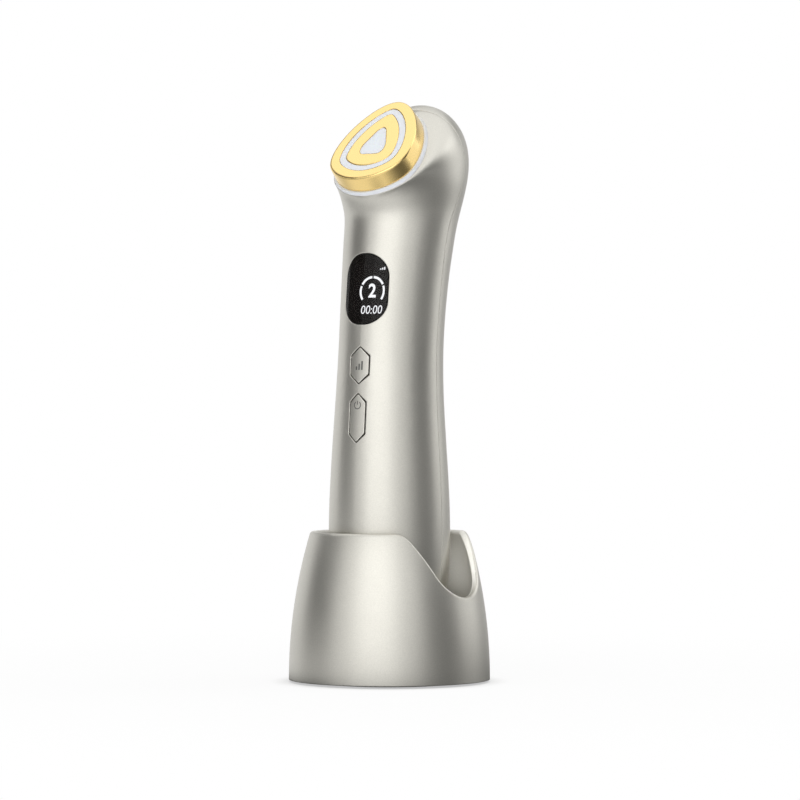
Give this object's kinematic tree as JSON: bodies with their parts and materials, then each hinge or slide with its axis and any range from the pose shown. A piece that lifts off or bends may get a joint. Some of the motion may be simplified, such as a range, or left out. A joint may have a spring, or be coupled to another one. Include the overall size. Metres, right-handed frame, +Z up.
{
  "type": "light therapy beauty device",
  "caption": "Handheld light therapy device with a tilted treatment head, display and push buttons, standing in a round charging cradle with a finger scoop.",
  "frame": {"origin": "centre of the cradle's underside, on the surface it stands on", "axes": "+Z up; the display and buttons look along -Y; the cradle's finger scoop is on the +X side"},
  "size_m": [0.0684, 0.0684, 0.1973],
  "materials": {
    "pearl_shell": "satin pearl lacquer",
    "gold_plate": "polished gold plating",
    "white_light": "smooth translucent white",
    "window_black": "glossy black",
    "display_dark": "glossy dark",
    "inner_plastic": "matt grey",
    "circuit_board": "lacquered green",
    "chip_black": "matt black",
    "cable_amber": "smooth amber film",
    "lamp_clear": "clear resin",
    "steel": "bright steel",
    "rubber_foot": "matt black",
    "battery_wrap": "blue sleeve"
  },
  "bodies": {
    "cradle": {"cradle_shell": "pearl_shell", "cradle_seat": "pearl_shell", "cradle_base_plate": "inner_plastic", "cradle_screws": "steel", "cradle_foot_ring": "rubber_foot", "cradle_ballast": "steel", "charge_board": "circuit_board", "charge_inlet": "steel", "charge_pin_sleeves": "inner_plastic"},
    "left_pin": {"left_charge_pin": "gold_plate"},
    "right_pin": {"right_charge_pin": "gold_plate"},
    "handset": {"front_shell": "pearl_shell", "rear_cover": "pearl_shell", "light_ring": "white_light", "outer_electrode": "gold_plate", "light_guide_ring": "white_light", "inner_electrode": "gold_plate", "centre_lens": "white_light", "head_carrier": "inner_plastic", "lamps": "lamp_clear", "lamp_board": "circuit_board", "display_window": "window_black", "display_panel": "display_dark", "display_frame": "inner_plastic", "level_switch": "steel", "mode_switch": "steel", "main_board": "circuit_board", "board_screws": "steel", "board_chips": "chip_black", "charge_pads": "gold_plate", "contact_board": "circuit_board", "head_cable": "cable_amber", "inner_chassis": "inner_plastic", "battery_cell": "battery_wrap", "cover_screws": "steel"},
    "level_key": {"level_button": "pearl_shell", "level_plunger": "inner_plastic"},
    "mode_key": {"mode_button": "pearl_shell", "mode_plunger": "inner_plastic"}
  },
  "joints": [
    {"name": "handset_lift", "type": "slide", "parent": "cradle", "child": "handset", "axis": [0, 0, 1], "range_m": [0, 0.06]},
    {"name": "level_press", "type": "slide", "parent": "handset", "child": "level_key", "axis": [0, 0.9977, -0.068], "range_m": [0, 0.0005], "stiffness_N_per_m": 2000, "springref_m": -0.0003},
    {"name": "mode_press", "type": "slide", "parent": "handset", "child": "mode_key", "axis": [0, 0.9977, -0.068], "range_m": [0, 0.0005], "stiffness_N_per_m": 2000, "springref_m": -0.0003},
    {"name": "left_pin_press", "type": "slide", "parent": "cradle", "child": "left_pin", "axis": [0, 0, 1], "range_m": [-0.0008, 0], "stiffness_N_per_m": 500, "springref_m": 0.0004},
    {"name": "right_pin_press", "type": "slide", "parent": "cradle", "child": "right_pin", "axis": [0, 0, 1], "range_m": [-0.0008, 0], "stiffness_N_per_m": 500, "springref_m": 0.0004}
  ]
}
